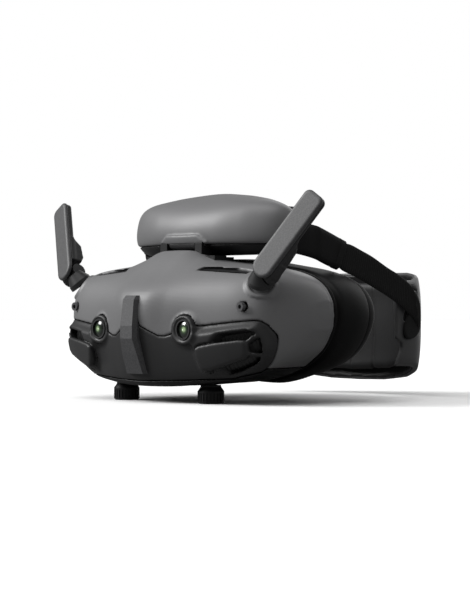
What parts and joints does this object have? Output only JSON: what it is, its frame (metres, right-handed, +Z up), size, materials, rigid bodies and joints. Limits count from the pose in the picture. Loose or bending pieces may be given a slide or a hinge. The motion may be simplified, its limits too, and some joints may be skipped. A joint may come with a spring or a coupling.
{
  "type": "fpv goggles",
  "caption": "Head-worn video goggles with stereo front cameras, folding antennas, hinged forehead unit, soft face mask and ribbed strap with a rear cradle.",
  "frame": {"origin": "bottom centre of the bounding box, at the height of the two focus knobs' undersides", "axes": "+X to the wearer's left, +Y from the cameras back towards the wearer's head, +Z up"},
  "size_m": [0.2024, 0.1774, 0.1071],
  "materials": {
    "shell_grey": "fine satin",
    "cover_dark": "satin",
    "bar_texture": "fine blasted texture",
    "black_plastic": "matt",
    "ring_metal": "anodised grey",
    "glass_green": "coated",
    "board_green": "solder mask",
    "steel": "brushed",
    "heat_metal": "cast",
    "mask_rubber": "soft matt",
    "foam": "knit over foam",
    "strap_web": "ribbed elastic",
    "pad_leather": "smooth",
    "antenna_grey": "fine texture",
    "clear_glass": "coated",
    "panel": "display glass",
    "battery_wrap": "shrink film"
  },
  "bodies": {
    "main_unit": {"upper_shell": "shell_grey", "front_cover": "cover_dark", "lower_shell": "black_plastic", "centre_bar": "bar_texture", "camera_bezel_left": "cover_dark", "camera_bezel_right": "cover_dark", "camera_lens_left": "glass_green", "camera_lens_right": "glass_green", "stereo_camera_board": "board_green", "vent_plate_left": "cover_dark", "vent_plate_right": "cover_dark", "vent_grille_left": "black_plastic", "vent_grille_right": "black_plastic", "top_grille_left": "black_plastic", "top_grille_right": "black_plastic", "front_screws": "steel", "eyepiece_frame": "black_plastic", "main_board": "board_green", "heat_sink": "heat_metal", "fan_housing_left": "black_plastic", "fan_housing_right": "black_plastic", "face_mask": "mask_rubber", "face_foam": "foam", "port_block": "steel", "key_board": "board_green", "hinge_bracket": "black_plastic", "hinge_pin": "steel"},
    "forehead_unit": {"forehead_housing": "shell_grey", "forehead_tray": "black_plastic", "battery_cells": "battery_wrap", "battery_board": "board_green", "forehead_cushion": "pad_leather", "strap_sleeve_left": "black_plastic", "strap_sleeve_right": "black_plastic"},
    "rear_band": {"strap_left": "strap_web", "strap_right": "strap_web", "cradle_shell": "cover_dark", "cradle_pad": "pad_leather"},
    "power_key": {"power_button": "cover_dark"},
    "stick_key": {"stick_button": "cover_dark"},
    "back_key": {"back_button": "cover_dark"},
    "record_key": {"record_button": "cover_dark"},
    "eye_slider_left": {"eye_carriage_left": "black_plastic", "display_left": "panel"},
    "focus_knob_left": {"knob_left": "black_plastic"},
    "lens_slider_left": {"lens_cell_left": "black_plastic", "eyepiece_lens_left": "clear_glass"},
    "fan_wheel_left": {"fan_rotor_left": "black_plastic"},
    "antenna_swivel_left": {"antenna_hub_left": "cover_dark"},
    "antenna_arm_left": {"antenna_cover_left": "antenna_grey", "antenna_body_left": "cover_dark"},
    "eye_slider_right": {"eye_carriage_right": "black_plastic", "display_right": "panel"},
    "focus_knob_right": {"knob_right": "black_plastic"},
    "lens_slider_right": {"lens_cell_right": "black_plastic", "eyepiece_lens_right": "clear_glass"},
    "fan_wheel_right": {"fan_rotor_right": "black_plastic"},
    "antenna_swivel_right": {"antenna_hub_right": "cover_dark"},
    "antenna_arm_right": {"antenna_cover_right": "antenna_grey", "antenna_body_right": "cover_dark"}
  },
  "joints": [
    {"name": "forehead_tilt", "type": "hinge", "parent": "main_unit", "child": "forehead_unit", "pos_m": [0, -0.04825, 0.0802], "axis": [1, 0, 0], "range_deg": [0, 20]},
    {"name": "band_length", "type": "slide", "parent": "forehead_unit", "child": "rear_band", "axis": [0, 0.925, -0.38], "range_m": [0, 0.018]},
    {"name": "antenna_turn_left", "type": "hinge", "parent": "main_unit", "child": "antenna_swivel_left", "pos_m": [0.0693, -0.06225, 0.0626], "axis": [0.4308, -0.4408, 0.7875], "range_deg": [-20, 15]},
    {"name": "antenna_fold_left", "type": "hinge", "parent": "antenna_swivel_left", "child": "antenna_arm_left", "pos_m": [0.07111, -0.06207, 0.0663], "axis": [-0.84, -0.0359, 0.5414], "range_deg": [0, 25]},
    {"name": "eye_distance_left", "type": "slide", "parent": "main_unit", "child": "eye_slider_left", "axis": [1, 0, 0], "range_m": [-0.004, 0.004]},
    {"name": "focus_turn_left", "type": "hinge", "parent": "eye_slider_left", "child": "focus_knob_left", "pos_m": [0.0319, -0.06035, 0], "axis": [0, 0, 1], "range_deg": [-150, 150]},
    {"name": "focus_slide_left", "type": "slide", "parent": "eye_slider_left", "child": "lens_slider_left", "axis": [0, 1, 0], "range_m": [-0.003, 0.003]},
    {"name": "fan_spin_left", "type": "hinge", "parent": "main_unit", "child": "fan_wheel_left", "pos_m": [0.063, -0.04575, 0.0352], "axis": [0, 1, 0], "continuous": true},
    {"name": "antenna_turn_right", "type": "hinge", "parent": "main_unit", "child": "antenna_swivel_right", "pos_m": [-0.0693, -0.06225, 0.0626], "axis": [-0.4308, -0.4408, 0.7875], "range_deg": [-20, 15]},
    {"name": "antenna_fold_right", "type": "hinge", "parent": "antenna_swivel_right", "child": "antenna_arm_right", "pos_m": [-0.07111, -0.06207, 0.0663], "axis": [-0.84, 0.0359, -0.5414], "range_deg": [0, 25]},
    {"name": "eye_distance_right", "type": "slide", "parent": "main_unit", "child": "eye_slider_right", "axis": [1, 0, 0], "range_m": [-0.004, 0.004]},
    {"name": "focus_turn_right", "type": "hinge", "parent": "eye_slider_right", "child": "focus_knob_right", "pos_m": [-0.0319, -0.06035, 0], "axis": [0, 0, 1], "range_deg": [-150, 150]},
    {"name": "focus_slide_right", "type": "slide", "parent": "eye_slider_right", "child": "lens_slider_right", "axis": [0, 1, 0], "range_m": [-0.003, 0.003]},
    {"name": "fan_spin_right", "type": "hinge", "parent": "main_unit", "child": "fan_wheel_right", "pos_m": [-0.063, -0.04575, 0.0352], "axis": [0, 1, 0], "continuous": true},
    {"name": "power_press", "type": "slide", "parent": "forehead_unit", "child": "power_key", "axis": [0, 0, -1], "range_m": [0, 0.0006], "stiffness_N_per_m": 1500, "springref_m": -0.0002},
    {"name": "stick_press", "type": "slide", "parent": "main_unit", "child": "stick_key", "axis": [1, 0, 0], "range_m": [0, 0.0006], "stiffness_N_per_m": 1500, "springref_m": -0.0002},
    {"name": "back_press", "type": "slide", "parent": "main_unit", "child": "back_key", "axis": [1, 0, 0], "range_m": [0, 0.0006], "stiffness_N_per_m": 1500, "springref_m": -0.0002},
    {"name": "record_press", "type": "slide", "parent": "main_unit", "child": "record_key", "axis": [1, 0, 0], "range_m": [0, 0.0006], "stiffness_N_per_m": 1500, "springref_m": -0.0002}
  ],
  "couplings": [
    {"joint": "focus_turn_left", "follows": "focus_slide_left", "rad_per_m": 870},
    {"joint": "focus_turn_right", "follows": "focus_slide_right", "rad_per_m": 870}
  ]
}
